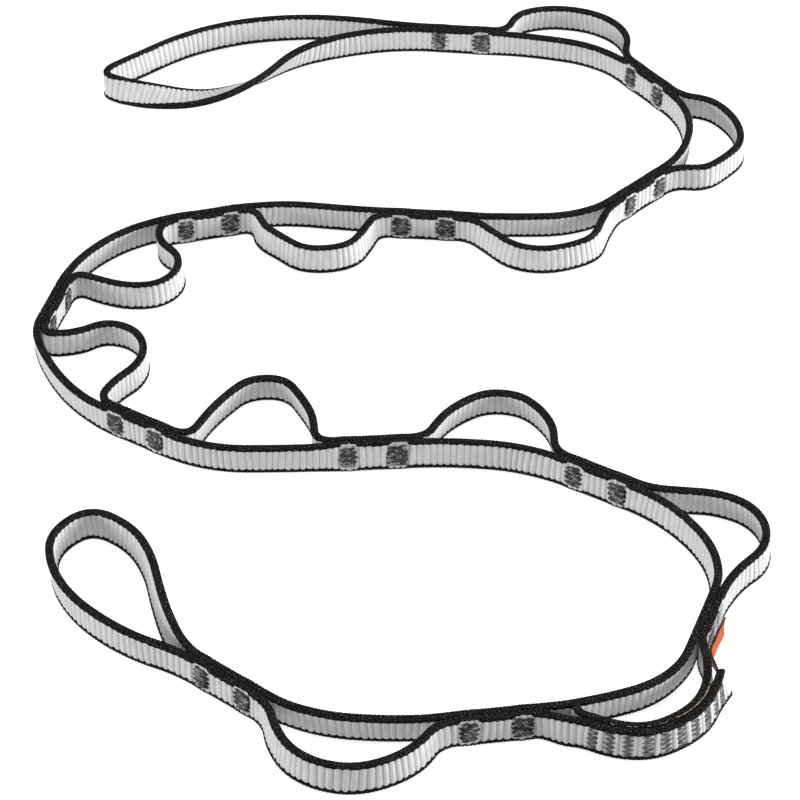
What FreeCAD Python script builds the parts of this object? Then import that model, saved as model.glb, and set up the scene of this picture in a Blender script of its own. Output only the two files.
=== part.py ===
import FreeCAD, Part
import math
import os

os.makedirs("parts", exist_ok=True)

# A climbing daisy chain lying in an S on the floor, its webbing standing on edge.
# Two strands run side by side: the spine strand on the right of the direction of travel and
# the slack strand on its left.  Twelve stitched blocks join them, which leaves eleven pockets
# and a loop at each end.  Every route is a chain of tangent arcs seen from above.
# Angles are headings in degrees, counted from +X towards +Y.

# ---------------------------------------------------------------- webbing and stitching, mm
WIDTH = 12.0                # webbing width, which is the height of the part
THICK = 3.2                 # one layer of webbing
TACK_PITCH = 20.5           # between the two bar tacks of a stitched block
LEAD = 4.0                  # flat run of a block beyond each of its tacks
TACK_LONG = 5.4             # bar tack, along the webbing
TACK_TALL = 10.0            # bar tack, across the webbing
TACK_PROUD = 0.5            # how far the thread stands out of the webbing
CORE = 1.4                  # thread that passes through the layers, along the webbing
CLEAR = 0.3                 # air between the two halves of a flex point
SPLIT = 0.3                 # air where a slack strand is parted at its crown

# ---------------------------------------------------------------- the spine, block by block
START = (18.44, 244.75)
BLOCK_HEADING = (-6, -55, -134, -185, -165, -104, -33, 4, -32, -110, -172, -219)
SPINE_MIDDLE = (-16, -98, -178, -189, -133, -54, 0, -7, -63, -159, -186)
SPINE_LENGTH = (82, 82, 86, 79, 80, 84, 82, 75, 87, 83, 86)     # tack to tack

# ---------------------------------------------------------------- the slack strands
# Seven headings between eight equal arcs, counted from the line between the pocket's ends.
SLACK_TO_SPAN = 1.45        # about how much longer the slack strand is than the straight way
SLACK_SHAPE = (
    (96, 44, 19, 0, -20, -28, -111),
    (84, 43, 24, 5, -30, -39, -91),
    (57, 63, 19, 2, -28, -62, -61),
    (72, 66, 23, -3, -43, -41, -75),
    (45, 90, 46, 5, -40, -64, -76),
    (65, 96, 39, -5, -40, -72, -55),
    (75, 66, 58, 7, -54, -60, -83),
    (80, 61, 44, 3, -35, -50, -104),
    (59, 60, 33, -2, -27, -78, -45),
    (87, 26, 24, -6, -37, -58, -40),
    (71, 47, 29, 1, -24, -52, -68),
)

# ---------------------------------------------------------------- the two end loops
# Each entry is the length of an arc and the heading at its end.
LOOP_A_BACK = ((28, 167), (28, 179), (28, 190), (28, 206), (28, 222), (28, 220))
LOOP_A_TIP = ((13, 335),)
LOOP_A_FRONT = ((29, 350), (29, 390), (29, 410), (29, 385), (29, 370), (29, 354))
TWIST_BEFORE_TIP = 20.0     # where the half twist begins, before the tip
TWIST_LENGTH = 150.0        # over which the webbing turns over by 180 degrees
TWIST_STEP = 2.5            # between the sections of the twisted stretch
LOOP_B_OUT = ((18.4, 113), (18.4, 105), (18.4, 102), (18.4, 117), (18.4, 146), (18.4, 227))
LOOP_B_BACK = ((18.4, 275), (18.4, 296), (18.4, 312), (18.4, 323), (18.4, 335), (18.4, 321))

# ---------------------------------------------------------------- the splice in pocket 10
SPLICED = 9                 # index of the pocket that holds the splice
SPLICE_FROM = 20.0          # cut end of the outer layer, along the inner layer
SPLICE_TO = 80.0            # free end of the inner layer
SPLICE_TACKS = 10
SPLICE_TACK_LONG = 3.4
SPLICE_MARGIN = 3.0         # from a layer's end to the middle of the nearest tack
CURL = ((3.0, 60),)         # free end of the inner layer, turned in: length and turn
OUTER_RUN_OUT = (-18, -30, -30)     # the outer layer's way back to the block

# ---------------------------------------------------------------- the label
LABEL_THICK = 0.6
LABEL_TALL = 9.6
LABEL_BACK = 15.0           # free end of the label, before the end of its block
LABEL_OFF = 4.8             # free end of the label, from the middle of the webbing
LABEL_HEADING = -117
LABEL_ROUTE = ((14, -113), (9, -75), (6, -74), (6.8, -104))


# ---------------------------------------------------------------- plane geometry of a route
def unit(heading):
    """The direction of a heading."""
    return math.cos(math.radians(heading)), math.sin(math.radians(heading))


def beside(p, heading, off):
    """A point moved off to the left of its heading."""
    c, s = unit(heading)
    return p[0] - s * off, p[1] + c * off


def ahead(p, heading, far):
    """A point moved along its heading."""
    c, s = unit(heading)
    return p[0] + c * far, p[1] + s * far


def arc_end(p, h0, h1, length):
    """The end of an arc that leaves p at heading h0 and ends at heading h1."""
    half = math.radians(h1 - h0) / 2
    chord = length if abs(half) < 1e-9 else length * math.sin(half) / half
    return ahead(p, (h0 + h1) / 2, chord)


def route(p, heading, arcs):
    """A chain of tangent arcs as a list of (point, heading, end heading, length)."""
    out = []
    for length, end in arcs:
        out.append((p, heading, end, length))
        p = arc_end(p, heading, end, length)
        heading = end
    return out


def finish_of(run):
    """Where a route ends, and its heading there."""
    p, h0, h1, length = run[-1]
    return arc_end(p, h0, h1, length), h1


def length_of(run):
    """The length of a route."""
    return sum(arc[3] for arc in run)


def part_of(run, start, stop):
    """The stretch of a route between two lengths along it."""
    out = []
    gone = 0.0
    for p, h0, h1, length in run:
        a = max(start - gone, 0.0)
        b = min(stop - gone, length)
        gone += length
        if b - a < 1e-6:
            continue
        ha = h0 + (h1 - h0) * a / length
        hb = h0 + (h1 - h0) * b / length
        out.append((arc_end(p, h0, ha, a), ha, hb, b - a))
    return out


def place_on(run, at):
    """The point and the heading at a length along a route."""
    stretch = part_of(run, at, at + 0.001) or part_of(run, at - 0.001, at)
    return stretch[0][0], stretch[0][1]


def moved(run, off):
    """The same route drawn off to its left."""
    out = []
    for p, h0, h1, length in run:
        out.append((beside(p, h0, off), h0, h1, length - math.radians(h1 - h0) * off))
    return out


def closed_route(p, h0, q, h1, fixed, free):
    """A route from p to q.  The free arcs are stretched and turned together until it closes."""

    def attempt(stretch, turn):
        bent = [(length * stretch, end + turn) for length, end in free[:-1]]
        return route(p, h0, list(fixed) + bent + [(free[-1][0] * stretch, h1)])

    def miss(stretch, turn):
        e, _h = finish_of(attempt(stretch, turn))
        return q[0] - e[0], q[1] - e[1]

    stretch, turn = 1.0, 0.0
    for _ in range(30):
        mx, my = miss(stretch, turn)
        ax, ay = miss(stretch + 0.001, turn)
        bx, by = miss(stretch, turn + 0.1)
        ax, ay = (ax - mx) / 0.001, (ay - my) / 0.001
        bx, by = (bx - mx) / 0.1, (by - my) / 0.1
        det = ax * by - ay * bx
        stretch -= (mx * by - my * bx) / det
        turn -= (ax * my - ay * mx) / det
    return attempt(stretch, turn)


def slack_route(p, h0, q, h1, shape):
    """The slack strand of a pocket, from the end of one block to the start of the next."""
    line = math.degrees(math.atan2(q[1] - p[1], q[0] - p[0]))
    line += 360.0 * round(((h0 + h1) / 2 - line) / 360.0)
    each = SLACK_TO_SPAN * math.hypot(q[0] - p[0], q[1] - p[1]) / (len(shape) + 1)
    arcs = [(each, line + rel) for rel in shape] + [(each, h1)]
    return closed_route(p, h0, q, h1, (), arcs)


# ---------------------------------------------------------------- routes of the whole sling
def spine_routes():
    """The spine strand: the route of each block and of each stretch between blocks."""
    blocks = []
    between = []
    p = ahead(START, BLOCK_HEADING[0], -LEAD)
    for k, heading in enumerate(BLOCK_HEADING):
        blocks.append(route(p, heading, [(TACK_PITCH + 2 * LEAD, heading)]))
        p, _h = finish_of(blocks[-1])
        if k < len(SPINE_LENGTH):
            half = SPINE_LENGTH[k] / 2 - LEAD
            run = route(p, heading, [(half, SPINE_MIDDLE[k]), (half, BLOCK_HEADING[k + 1])])
            between.append(run)
            p, _h = finish_of(run)
    return blocks, between


BLOCKS, SPINES = spine_routes()
PAIRED = [moved(run, THICK) for run in BLOCKS]


def slack_between(k):
    """The slack strand of pocket k."""
    p, h0 = finish_of(PAIRED[k])
    q, h1 = PAIRED[k + 1][0][0], PAIRED[k + 1][0][1]
    return slack_route(p, h0, q, h1, SLACK_SHAPE[k])


SLACKS = [slack_between(k) for k in range(len(SLACK_SHAPE))]


def loop_a_route():
    """End loop A, from the slack strand of the first block to its spine strand."""
    heading = BLOCK_HEADING[0] + 180
    out = LOOP_A_BACK + LOOP_A_TIP
    p, q = PAIRED[0][0][0], BLOCKS[0][0][0]
    return closed_route(p, heading, q, heading + 180, out, LOOP_A_FRONT)


def loop_b_route():
    """End loop B, from the spine strand of the last block to its slack strand."""
    heading = BLOCK_HEADING[-1] + 360
    p, _h = finish_of(BLOCKS[-1])
    q, _h = finish_of(PAIRED[-1])
    return closed_route(p, heading, q, heading + 180, LOOP_B_OUT, LOOP_B_BACK)


# ---------------------------------------------------------------- solids
def vec(p, z):
    return FreeCAD.Vector(p[0], p[1], z)


def bent_edge(arc, off, z, back=False):
    """One edge of a band: the arc drawn off to its left."""
    p, h0, h1, length = arc
    middle = (h0 + h1) / 2
    a = beside(p, h0, off)
    m = beside(arc_end(p, h0, middle, length / 2), middle, off)
    b = beside(arc_end(p, h0, h1, length), h1, off)
    if back:
        a, b = b, a
    if abs(h1 - h0) < 0.01:
        return Part.LineSegment(vec(a, z), vec(b, z)).toShape()
    return Part.Arc(vec(a, z), vec(m, z), vec(b, z)).toShape()


def corner(pivot, way, side, radius):
    """The middle of a quarter turn about a pivot."""
    return (pivot[0] + (way[0] + side[0]) * radius * math.sqrt(0.5),
            pivot[1] + (way[1] + side[1]) * radius * math.sqrt(0.5))


def cap(a, b, way, kind, z):
    """The edges that close a band from a to b, past which it points along way."""
    wide = math.hypot(b[0] - a[0], b[1] - a[1])
    side = ((b[0] - a[0]) / wide, (b[1] - a[1]) / wide)
    if kind == "round":
        tip = ((a[0] + b[0] + way[0] * wide) / 2, (a[1] + b[1] + way[1] * wide) / 2)
        return [Part.Arc(vec(a, z), vec(tip, z), vec(b, z)).toShape()]
    if kind == "pivot_first":
        tip = (a[0] + way[0] * wide, a[1] + way[1] * wide)
        bend = corner(a, way, side, wide)
        return [Part.LineSegment(vec(a, z), vec(tip, z)).toShape(),
                Part.Arc(vec(tip, z), vec(bend, z), vec(b, z)).toShape()]
    if kind == "pivot_last":
        tip = (b[0] + way[0] * wide, b[1] + way[1] * wide)
        bend = corner(b, way, (-side[0], -side[1]), wide)
        return [Part.Arc(vec(a, z), vec(bend, z), vec(tip, z)).toShape(),
                Part.LineSegment(vec(tip, z), vec(b, z)).toShape()]
    return [Part.LineSegment(vec(a, z), vec(b, z)).toShape()]


def band(run, low=-THICK / 2, high=THICK / 2, z=0.0, tall=WIDTH, first="flat", last="flat"):
    """A solid that follows a route, between two distances off to its left."""
    p0, h0 = run[0][0], run[0][1]
    p1, h1 = finish_of(run)
    edges = [bent_edge(arc, high, z) for arc in run]
    edges += cap(beside(p1, h1, high), beside(p1, h1, low), unit(h1), last, z)
    edges += [bent_edge(arc, low, z, back=True) for arc in reversed(run)]
    edges += cap(beside(p0, h0, low), beside(p0, h0, high), unit(h0 + 180), first, z)
    face = Part.Face(Part.Wire(edges))
    return face.extrude(FreeCAD.Vector(0, 0, tall))


def tack_solid(run, at, low, high, tack_long):
    """A bar tack through the layers between low and high: two pads and their thread."""
    z = (WIDTH - TACK_TALL) / 2
    pad = part_of(run, at - tack_long / 2, at + tack_long / 2)
    shape = band(pad, high, high + TACK_PROUD, z, TACK_TALL)
    shape = shape.fuse(band(pad, low - TACK_PROUD, low, z, TACK_TALL))
    shape = shape.fuse(core_solid(run, at, low, high))
    return shape.removeSplitter()


def core_solid(run, at, low, high):
    """The thread of a bar tack inside the webbing."""
    stretch = part_of(run, at - CORE / 2, at + CORE / 2)
    return band(stretch, low, high, (WIDTH - TACK_TALL) / 2 + 0.5, TACK_TALL - 1.0)


def block_tack_places():
    """Where the two tacks of a block sit along it."""
    return LEAD, LEAD + TACK_PITCH


def save(name, *shapes):
    """Write one node."""
    solids = [solid for shape in shapes for solid in shape.Solids]
    shape = solids[0] if len(solids) == 1 else Part.makeCompound(solids)
    shape.exportStep("parts/" + name + ".step")


# ---------------------------------------------------------------- the spine strand
def spine_piece(k):
    """The spine strand from one flex point to the next, through block k."""
    run = list(BLOCKS[k])
    first, last = "pivot_last", "pivot_first"
    if k > 0 and k - 1 != SPLICED:
        before = SPINES[k - 1]
        half = length_of(before) / 2
        run = part_of(before, half + THICK / 2 + CLEAR, length_of(before)) + run
        first = "flat"
    if k < len(SPINES):
        after = SPINES[k]
        if k == SPLICED:
            run = run + part_of(after, 0.0, length_of(after) - THICK - CLEAR)
            last = "flat"
        else:
            run = run + part_of(after, 0.0, length_of(after) / 2)
            last = "round"
    shape = band(run, first=first, last=last)
    for at in block_tack_places():
        shape = shape.cut(core_solid(BLOCKS[k], at, -THICK / 2, THICK / 2))
    return shape


# ---------------------------------------------------------------- the slack strand
def splice_outer_route():
    """The outer layer of the splice, from its cut end to the block after the pocket."""
    inner = SLACKS[SPLICED]
    over = moved(part_of(inner, SPLICE_FROM, SPLICE_TO), THICK)
    p, h0 = finish_of(over)
    q, h1 = PAIRED[SPLICED + 1][0][0], PAIRED[SPLICED + 1][0][1]
    line = math.degrees(math.atan2(q[1] - p[1], q[0] - p[0]))
    line += 360.0 * round((h1 - line) / 360.0)
    each = math.hypot(q[0] - p[0], q[1] - p[1]) / (len(OUTER_RUN_OUT) + 1)
    arcs = [(each, line + rel) for rel in OUTER_RUN_OUT] + [(each, h1)]
    return over, closed_route(p, h0, q, h1, (), arcs)


OVER, RUN_OUT = splice_outer_route()


def slack_piece(k):
    """The slack strand from one crown to the next, through block k."""
    run = list(PAIRED[k])
    first, last = "pivot_first", "pivot_last"
    if k > 0 and k - 1 != SPLICED:
        before = SLACKS[k - 1]
        run = part_of(before, length_of(before) / 2 + SPLIT / 2, length_of(before)) + run
        first = "flat"
    if k < len(SLACKS):
        after = SLACKS[k]
        if k == SPLICED:
            run = run + part_of(after, 0.0, SPLICE_TO)
            run = run + curl_route(*finish_of(run))
        else:
            run = run + part_of(after, 0.0, length_of(after) / 2 - SPLIT / 2)
        last = "flat"
    shape = band(run, first=first, last=last)
    for at in block_tack_places():
        shape = shape.cut(core_solid(PAIRED[k], at, -THICK / 2, THICK / 2))
    if k == SPLICED:
        for at in splice_places():
            shape = shape.cut(core_solid(SLACKS[k], at, -THICK / 2, THICK / 2))
    return shape


def curl_route(p, heading):
    """The short free end of the inner layer."""
    return route(p, heading, [(length, heading - turn) for length, turn in CURL])


def splice_places():
    """Where the tacks of the splice sit along the inner layer."""
    first = SPLICE_FROM + SPLICE_MARGIN
    step = (SPLICE_TO - SPLICE_FROM - 2 * SPLICE_MARGIN) / (SPLICE_TACKS - 1)
    return [first + step * n for n in range(SPLICE_TACKS)]


def splice_outer():
    """The outer layer of the splice, stopped short of the flex point at the next block."""
    run_out = part_of(RUN_OUT, 0.0, length_of(RUN_OUT) - THICK - CLEAR)
    shape = band(OVER + run_out)
    for at in splice_places():
        shape = shape.cut(core_solid(SLACKS[SPLICED], at, THICK / 2, 1.5 * THICK))
    return shape


def splice_tacks():
    """The row of bar tacks through both layers of the splice."""
    return [tack_solid(SLACKS[SPLICED], at, -THICK / 2, 1.5 * THICK, SPLICE_TACK_LONG)
            for at in splice_places()]


# ---------------------------------------------------------------- the end loops
def rolled_section(p, heading, roll):
    """A cross-section of the webbing, turned about its own centreline."""
    c, s = unit(heading)
    side = FreeCAD.Vector(-s, c, 0)
    up = FreeCAD.Vector(0, 0, 1)
    cr, sr = math.cos(math.radians(roll)), math.sin(math.radians(roll))
    thin = side * cr + up * sr
    wide = up * cr - side * sr
    half = WIDTH / 2
    if abs(cr) > 0.5:
        half = min(half, (WIDTH / 2 - THICK / 2 * abs(sr)) / abs(cr))   # stays off the floor
    middle = FreeCAD.Vector(p[0], p[1], WIDTH / 2)
    points = []
    for a, b in ((1, 1), (1, -1), (-1, -1), (-1, 1)):
        points.append(middle + thin * (a * THICK / 2) + wide * (b * half))
    return Part.makePolygon(points + points[:1])


def twisted(run):
    """The stretch of loop A in which the webbing turns over."""
    total = length_of(run)
    count = int(round(total / TWIST_STEP))
    sections = []
    for n in range(count + 1):
        u = n / count
        p, heading = place_on(run, total * u)
        sections.append(rolled_section(p, heading, -180.0 * u * u * (3.0 - 2.0 * u)))
    return Part.makeLoft(sections, True, False)


def save_loop_a():
    """End loop A: a plain strand, the half twist round its tip, and a plain strand."""
    run = loop_a_route()
    total = length_of(run)
    start = sum(length for length, _end in LOOP_A_BACK) - TWIST_BEFORE_TIP
    stop = start + TWIST_LENGTH
    save("loop_a_back", band(part_of(run, THICK + CLEAR, start)))
    save("loop_a_twist", twisted(part_of(run, start, stop)))
    save("loop_a_front", band(part_of(run, stop, total - THICK - CLEAR)))


def save_loop_b():
    """End loop B, one plain strand that goes out and comes back."""
    run = loop_b_route()
    total = length_of(run)
    half = total / 2
    save("loop_b_back", band(part_of(run, THICK + CLEAR, half)))
    save("loop_b_front", band(part_of(run, half, total - THICK - CLEAR)))


# ---------------------------------------------------------------- the label
def label():
    """A plain label that stands off the webbing and is held at the splice's cut end."""
    block = PAIRED[SPLICED]
    p, heading = place_on(block, length_of(block) - LABEL_BACK)
    run = route(beside(p, heading, LABEL_OFF), LABEL_HEADING, LABEL_ROUTE)
    low, high = -LABEL_THICK / 2, LABEL_THICK / 2
    shape = band(run, low, high, (WIDTH - LABEL_TALL) / 2, LABEL_TALL)
    return shape.cut(splice_outer())


# ---------------------------------------------------------------- write every node
for number in range(len(BLOCKS)):
    tag = "%02d" % (number + 1)
    save("spine_" + tag, spine_piece(number))
    save("slack_" + tag, slack_piece(number))
    pair = [tack_solid(BLOCKS[number], at, -THICK / 2, 1.5 * THICK, TACK_LONG)
            for at in block_tack_places()]
    save("tacks_" + tag, *pair)
save("splice_outer", splice_outer())
save("splice_tacks", *splice_tacks())
save("label", label())
save_loop_a()
save_loop_b()
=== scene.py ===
import math
import random

import bpy
import numpy as np
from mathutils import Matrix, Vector


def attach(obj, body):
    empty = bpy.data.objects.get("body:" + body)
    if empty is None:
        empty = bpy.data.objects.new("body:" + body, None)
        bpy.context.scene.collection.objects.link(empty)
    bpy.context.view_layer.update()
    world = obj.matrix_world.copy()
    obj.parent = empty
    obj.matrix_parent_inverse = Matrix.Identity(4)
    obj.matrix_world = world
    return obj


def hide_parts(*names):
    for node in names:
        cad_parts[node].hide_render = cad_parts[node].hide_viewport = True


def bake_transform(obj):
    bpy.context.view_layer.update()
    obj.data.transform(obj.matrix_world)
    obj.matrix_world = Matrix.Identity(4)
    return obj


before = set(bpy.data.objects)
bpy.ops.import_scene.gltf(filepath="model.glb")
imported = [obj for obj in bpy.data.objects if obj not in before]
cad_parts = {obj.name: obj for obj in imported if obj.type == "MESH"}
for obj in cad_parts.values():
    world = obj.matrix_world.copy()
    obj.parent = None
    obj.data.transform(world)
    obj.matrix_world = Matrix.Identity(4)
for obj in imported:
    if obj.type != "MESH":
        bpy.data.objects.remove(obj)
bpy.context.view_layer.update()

MM = 0.001

# A climbing daisy chain lying in an S on the floor, its webbing standing on edge.  The travel
# is from end loop A to end loop B, with the spine strand on its right and the slack strand on its
# left.  Headings are in degrees from +X towards +Y, and lengths in metres unless said otherwise.

# ---------------------------------------------------------------- webbing and stitching
WIDTH = 12.0 * MM
THICK = 3.2 * MM
TACK_PITCH = 20.5 * MM
LEAD = 4.0 * MM             # from a block's end to its nearer tack's middle
BLOCK = TACK_PITCH + 2 * LEAD
START = (18.44 * MM, 244.75 * MM)   # the first tack's middle
BLOCK_HEADING = (-6, -55, -134, -185, -165, -104, -33, 4, -32, -110, -172, -219)
SPINE_MIDDLE = (-16, -98, -178, -189, -133, -54, 0, -7, -63, -159, -186)
SPINE_LENGTH = [n * MM for n in (82, 82, 86, 79, 80, 84, 82, 75, 87, 83, 86)]
SPINE_BENDS_SOONER = {5: 10 * MM}   # how far past its block the line's first corner is
SLACK_TO_SPAN = 1.45
# The headings that each slack strand's arcs end at, against the line from block to block.
SLACK_SHAPE = (
    (96, 44, 19, 0, -24, -52, -84),
    (84, 43, 24, 5, -30, -39, -91),
    (57, 63, 19, 2, -28, -62, -61),
    (72, 66, 23, -3, -43, -41, -75),
    (45, 90, 46, 5, -40, -64, -76),
    (65, 96, 39, -5, -40, -72, -55),
    (75, 66, 58, 7, -54, -60, -83),
    (80, 61, 44, 3, -38, -58, -84),
    (60, 61, 37, 0, -33, -69, -55),
    (87, 26, 24, -6, -37, -58, -40),
    (71, 47, 29, 1, -24, -52, -68),
)

# ---------------------------------------------------------------- end loops, splice and label
LOOP_A_BACK = [(28 * MM, h) for h in (167, 179, 190, 206, 222, 220)]
LOOP_A_TIP = [(13 * MM, 335)]
LOOP_A_FRONT = [(29 * MM, h) for h in (350, 390, 410, 385, 370, 354)]
# End loop A's turn about its line, in degrees, by the distance past its tip in millimetres.
LOOP_A_TURN = ((-125, 0), (-95, 10), (-30, 12), (-6, 16), (6, 2), (22, -38), (38, -70), (50, -88),
               (60, -101), (72, -115), (85, -130), (100, -148), (115, -162), (130, -173),
               (145, -180), (200, -180))
LOOP_B_OUT = [(18.4 * MM, h) for h in (113, 105, 102, 117, 146, 227)]
LOOP_B_BACK = [(18.4 * MM, h) for h in (275, 296, 312, 323, 335, 321)]
# The same for end loop B, by the distance from its block's middle.
LOOP_B_TURN = ((14, 0), (34, 12), (105, 9), (150, 7), (190, -2), (235, 0))
SPLICED = 9                 # the pocket whose slack strand is the splice
SPLICE_FROM = 22 * MM
SPLICE_TO = 83.4 * MM
SPLICE_TACKS = 10
SPLICE_MARGIN = 3 * MM
# Control points of the splice's line and further down of the label's, in millimetres.
SPLICE_LINE = (
    (114.6, -193.8), (113.9, -197.0), (115.6, -206.5), (115.6, -215.5), (112.2, -227.4),
    (104.2, -236.6), (91.3, -243.8), (78.6, -242.6), (67.3, -236.9), (54.8, -235.1),
    (48.6, -235.9),
)
SPLICE_END_LONG = 3 * MM    # free end of the outer layer past its stitching
SPLICE_END_FLARE = 2.6 * MM
SPLICE_FLARE_LONG = 13 * MM
SPLICE_SEAM = 0.3 * MM      # the gap between its two layers
SPLICE_LEAN = 6
SPLICE_END_LEAN = 14        # more lean at the outer layer's free end
CURL_FROM = 84.2 * MM       # where the inner layer's free end curls away
CURL_LENGTH, CURL_TURN = 8 * MM, 62
OUTER_RUN_OUT = (-18, -30, -30)
LABEL_TALL = 8.8 * MM
LABEL_THICK = 0.8 * MM
LABEL_ROWS = 22             # vertices up each of its faces
LABEL_RIPPLE = 0.35 * MM
LABEL_LEAN = 16             # where it runs under the splice
LABEL_LINE = ((123.6, -181.4), (120.9, -190.0), (117.2, -198.6), (118.2, -203.0),
              (119.9, -209.0), (120.4, -214.5))
DARK, GREY, TAN, PALE = range(4)        # the threads, in the order of their materials
FADED_TACKS = {(2, -1): PALE, (9, 1): PALE}     # by block and side
TACK_LOW, TACK_HIGH = 1.8 * MM, WIDTH - 1.9 * MM
# The lengths of each block's two tacks, in millimetres.
TACK_LONG = (
    (6.6, 7.9), (6.6, 6.6), (6.8, 6.4), (7.5, 7.4), (7.1, 6.3), (6.5, 6.5),
    (7.6, 7.4), (6.3, 8.5), (6.4, 7.6), (6.5, 6.5), (7.6, 6.1), (7.0, 6.5),
)

# ---------------------------------------------------------------- weave
RIB = 2.8 * MM              # from one crosswise rib to the next
RIB_STATIONS = (0.0, 0.07, 0.18, 0.34, 0.5, 0.66, 0.82, 0.93)
GROOVE_DEEP = 0.46 * MM
SELVEDGE = 1.62 * MM        # how far the black edge reaches down a face
SCALLOP = 0.40 * MM         # how much lower it reaches in a groove than on a rib
LOBE = 1.40 * MM            # how much the white swells into it beside a tack
BEAD = 0.15 * MM
EDGE_HIGH = WIDTH / 2 + 0.35 * MM
STRAND_MIDDLE = EDGE_HIGH + BEAD            # the height of an upright section's middle
# Leans off the vertical in degrees, where positive brings the foot to the left of the travel.
BEND_LEAN = 2               # in a tight bend, foot outwards
SPINE_LEAN = (4, -6, -10, -2, -6, 5, 0, -9, -6, -6, -8)
SLACK_LEAN = (2, 2, 10, 10, 5, 2, 6, 6, 3, 4, 8)
BLOCK_LEAN = (0, -4, 0, 0, 3, -3, 0, -10, -4, 0, 0, 0)

rng = random.Random(7)


# ---------------------------------------------------------------- camera
CAMERA_PLACE = (-0.00116, -1.0974, 0.838)
CAMERA_DOWN = 38.2          # degrees below the horizon


def make_camera():
    """A long lens that looks down at the lay from the front."""
    data = bpy.data.cameras.new("camera")
    data.lens = 144
    data.sensor_width = 36
    data.clip_start = 0.05
    cam = bpy.data.objects.new("camera", data)
    cam.location = CAMERA_PLACE
    cam.rotation_euler = (math.radians(90 - CAMERA_DOWN), 0, 0)
    bpy.context.scene.collection.objects.link(cam)
    bpy.context.scene.camera = cam


make_camera()


# ---------------------------------------------------------------- plane geometry of a route
def unit(heading):
    return math.cos(math.radians(heading)), math.sin(math.radians(heading))


def ahead(p, heading, far):
    c, s = unit(heading)
    return p[0] + c * far, p[1] + s * far


def beside(p, heading, off):
    return ahead(p, heading + 90, off)


def arc_end(p, h0, h1, length):
    half = math.radians(h1 - h0) / 2
    chord = length if abs(half) < 1e-9 else length * math.sin(half) / half
    return ahead(p, (h0 + h1) / 2, chord)


def route(p, heading, arcs):
    """A chain of tangent arcs as a list of (point, heading, end heading, length)."""
    out = []
    for length, end in arcs:
        out.append((p, heading, end, length))
        p = arc_end(p, heading, end, length)
        heading = end
    return out


def finish_of(run):
    p, h0, h1, length = run[-1]
    return arc_end(p, h0, h1, length), h1


STRETCH_STEP, TURN_STEP, TRIES = 0.001, 0.1, 30     # of the search for a closed route


def closed_route(p, h0, q, h1, fixed, free):
    """A route from p to q.  The free arcs are stretched and turned together until it closes."""

    def attempt(stretch, turn):
        bent = [(length * stretch, end + turn) for length, end in free[:-1]]
        return route(p, h0, list(fixed) + bent + [(free[-1][0] * stretch, h1)])

    def miss(stretch, turn):
        e, _h = finish_of(attempt(stretch, turn))
        return q[0] - e[0], q[1] - e[1]

    stretch, turn = 1.0, 0.0
    for _ in range(TRIES):
        mx, my = miss(stretch, turn)
        ax, ay = miss(stretch + STRETCH_STEP, turn)
        bx, by = miss(stretch, turn + TURN_STEP)
        ax, ay = (ax - mx) / STRETCH_STEP, (ay - my) / STRETCH_STEP
        bx, by = (bx - mx) / TURN_STEP, (by - my) / TURN_STEP
        det = ax * by - ay * bx
        stretch -= (mx * by - my * bx) / det
        turn -= (ax * my - ay * mx) / det
    return attempt(stretch, turn)


def line_heading(p, q, near):
    """The heading from p to q, on the same turn as the heading near."""
    line = math.degrees(math.atan2(q[1] - p[1], q[0] - p[0]))
    return line + 360.0 * round((near - line) / 360.0)


def corners(run):
    """The corners that a route's arcs round off, with its two ends."""
    points = [run[0][0]]
    for p, h0, h1, length in run:
        half = math.radians(h1 - h0) / 2
        points.append(ahead(p, h0, length / 2 * (math.tan(half) / half if half else 1.0)))
    return points + [finish_of(run)[0]]


# ---------------------------------------------------------------- smooth lines
class Line:
    """A smooth line in the plane of the lay that is asked for its points by length."""

    def __init__(self, points):
        self.points = np.array(points, float)
        steps = np.linalg.norm(np.diff(self.points, axis=0), axis=1)
        self.along = np.concatenate([[0.0], np.cumsum(steps)])
        self.length = self.along[-1]
        way = np.gradient(self.points, self.along, axis=0)
        self.ways = way / np.linalg.norm(way, axis=1)[:, None]

    def at(self, s):
        return np.stack([np.interp(s, self.along, self.points[:, k]) for k in (0, 1)], -1)

    def way(self, s):
        w = np.stack([np.interp(s, self.along, self.ways[:, k]) for k in (0, 1)], -1)
        return w / np.linalg.norm(w, axis=-1, keepdims=True)

    def heading(self, s, near):
        w = self.way(s)
        turned = math.degrees(math.atan2(w[1], w[0]))
        return turned + 360.0 * round((near - turned) / 360.0)


def spline(points):
    """The points along the NURBS line whose control points these are."""
    data = bpy.data.curves.new("line", "CURVE")
    data.dimensions = "3D"
    s = data.splines.new("NURBS")
    s.points.add(len(points) - 1)
    for point, p in zip(s.points, points):
        point.co = (p[0], p[1], 0.0, 1.0)
    s.order_u = 3
    s.use_endpoint_u = True
    s.resolution_u = 24
    holder = bpy.data.objects.new("line", data)
    mesh = bpy.data.meshes.new_from_object(holder)
    line = [(v.co.x, v.co.y) for v in mesh.vertices]
    bpy.data.objects.remove(holder)
    bpy.data.meshes.remove(mesh)
    bpy.data.curves.remove(data)
    return line


def joined(*stretches):
    """One line from several stretches, each starting where the one before it ends."""
    points = []
    for stretch in stretches:
        for p in stretch:
            if not points or math.dist(p, points[-1]) > 1e-6:
                points.append(p)
    return Line(points)


def straight(p, heading, far):
    """The two ends of a straight stretch."""
    return [p, ahead(p, heading, far)]


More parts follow.
